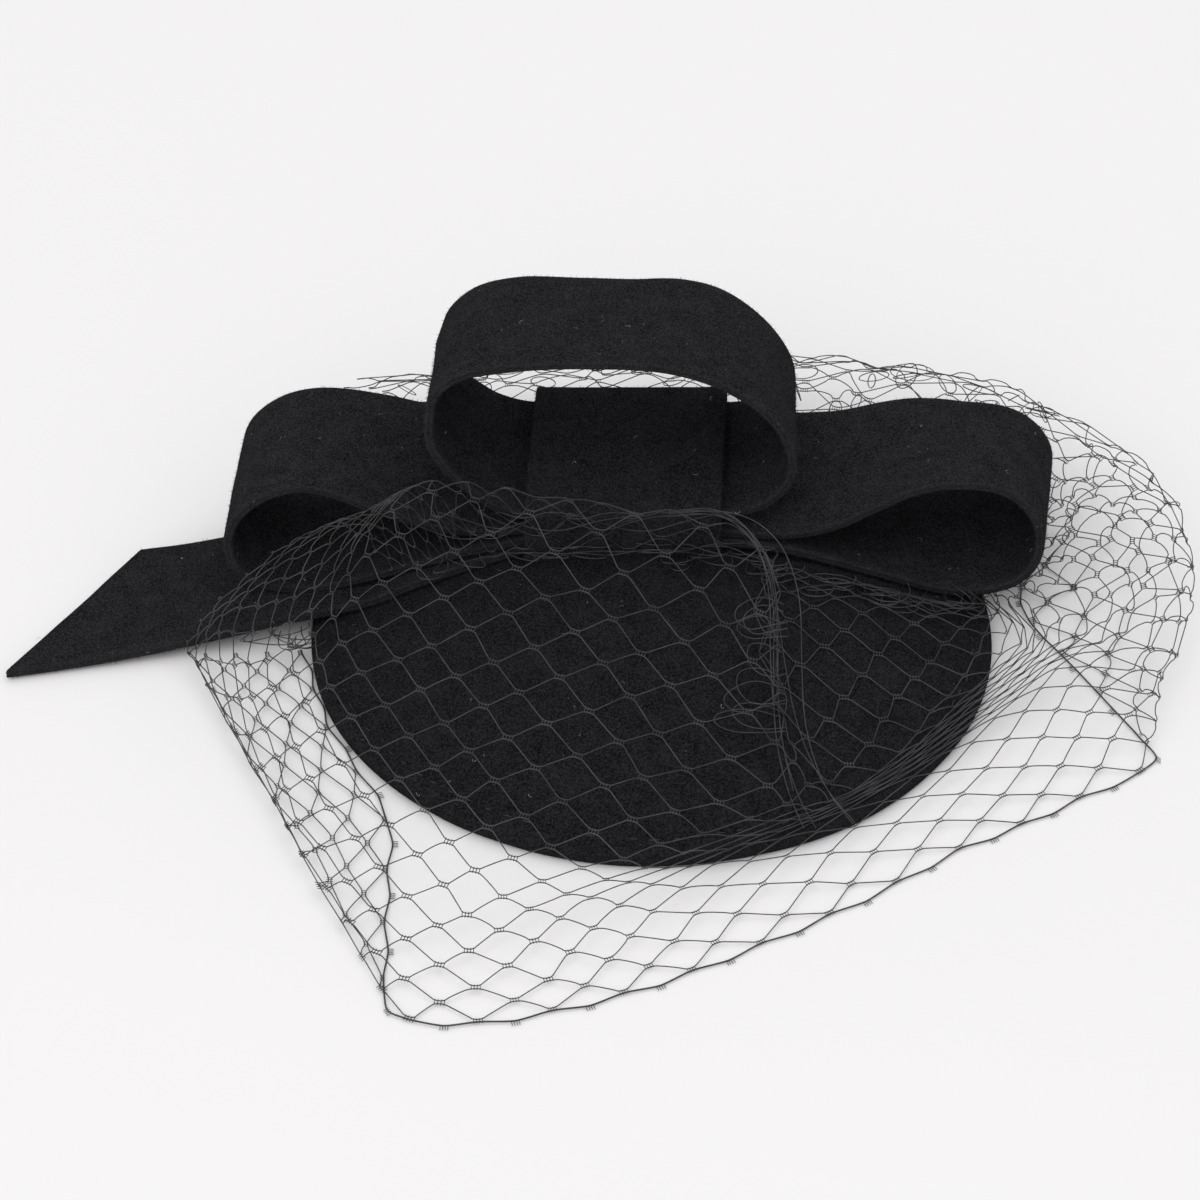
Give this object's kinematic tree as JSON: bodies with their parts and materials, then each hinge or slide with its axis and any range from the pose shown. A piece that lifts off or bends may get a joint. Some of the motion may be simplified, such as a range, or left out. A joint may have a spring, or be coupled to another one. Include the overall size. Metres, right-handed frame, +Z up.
{
  "type": "fascinator hat",
  "caption": "Round felt saucer headpiece with a looped felt ribbon bow, a slanted loose tail and a gathered coarse diamond net veil.",
  "frame": {"origin": "centre of the saucer's rim, on the plane that the headpiece rests on", "axes": "+Z up through the dome's crown, -Y to the front, where the veil falls, -X to the bow's loose tail"},
  "size_m": [0.3738, 0.3077, 0.0901],
  "materials": {
    "saucer_felt": "matt wool felt",
    "ribbon_felt": "matt wool felt, two layers bonded",
    "net": "twisted nylon thread, slight sheen",
    "comb_plastic": "smooth moulded plastic"
  },
  "bodies": {
    "root": {"base": "saucer_felt", "hair_comb": "comb_plastic", "tail": "ribbon_felt", "left_loop": "ribbon_felt", "right_loop": "ribbon_felt", "top_loop": "ribbon_felt", "centre_knot": "ribbon_felt", "veil": "net"}
  },
  "joints": []
}
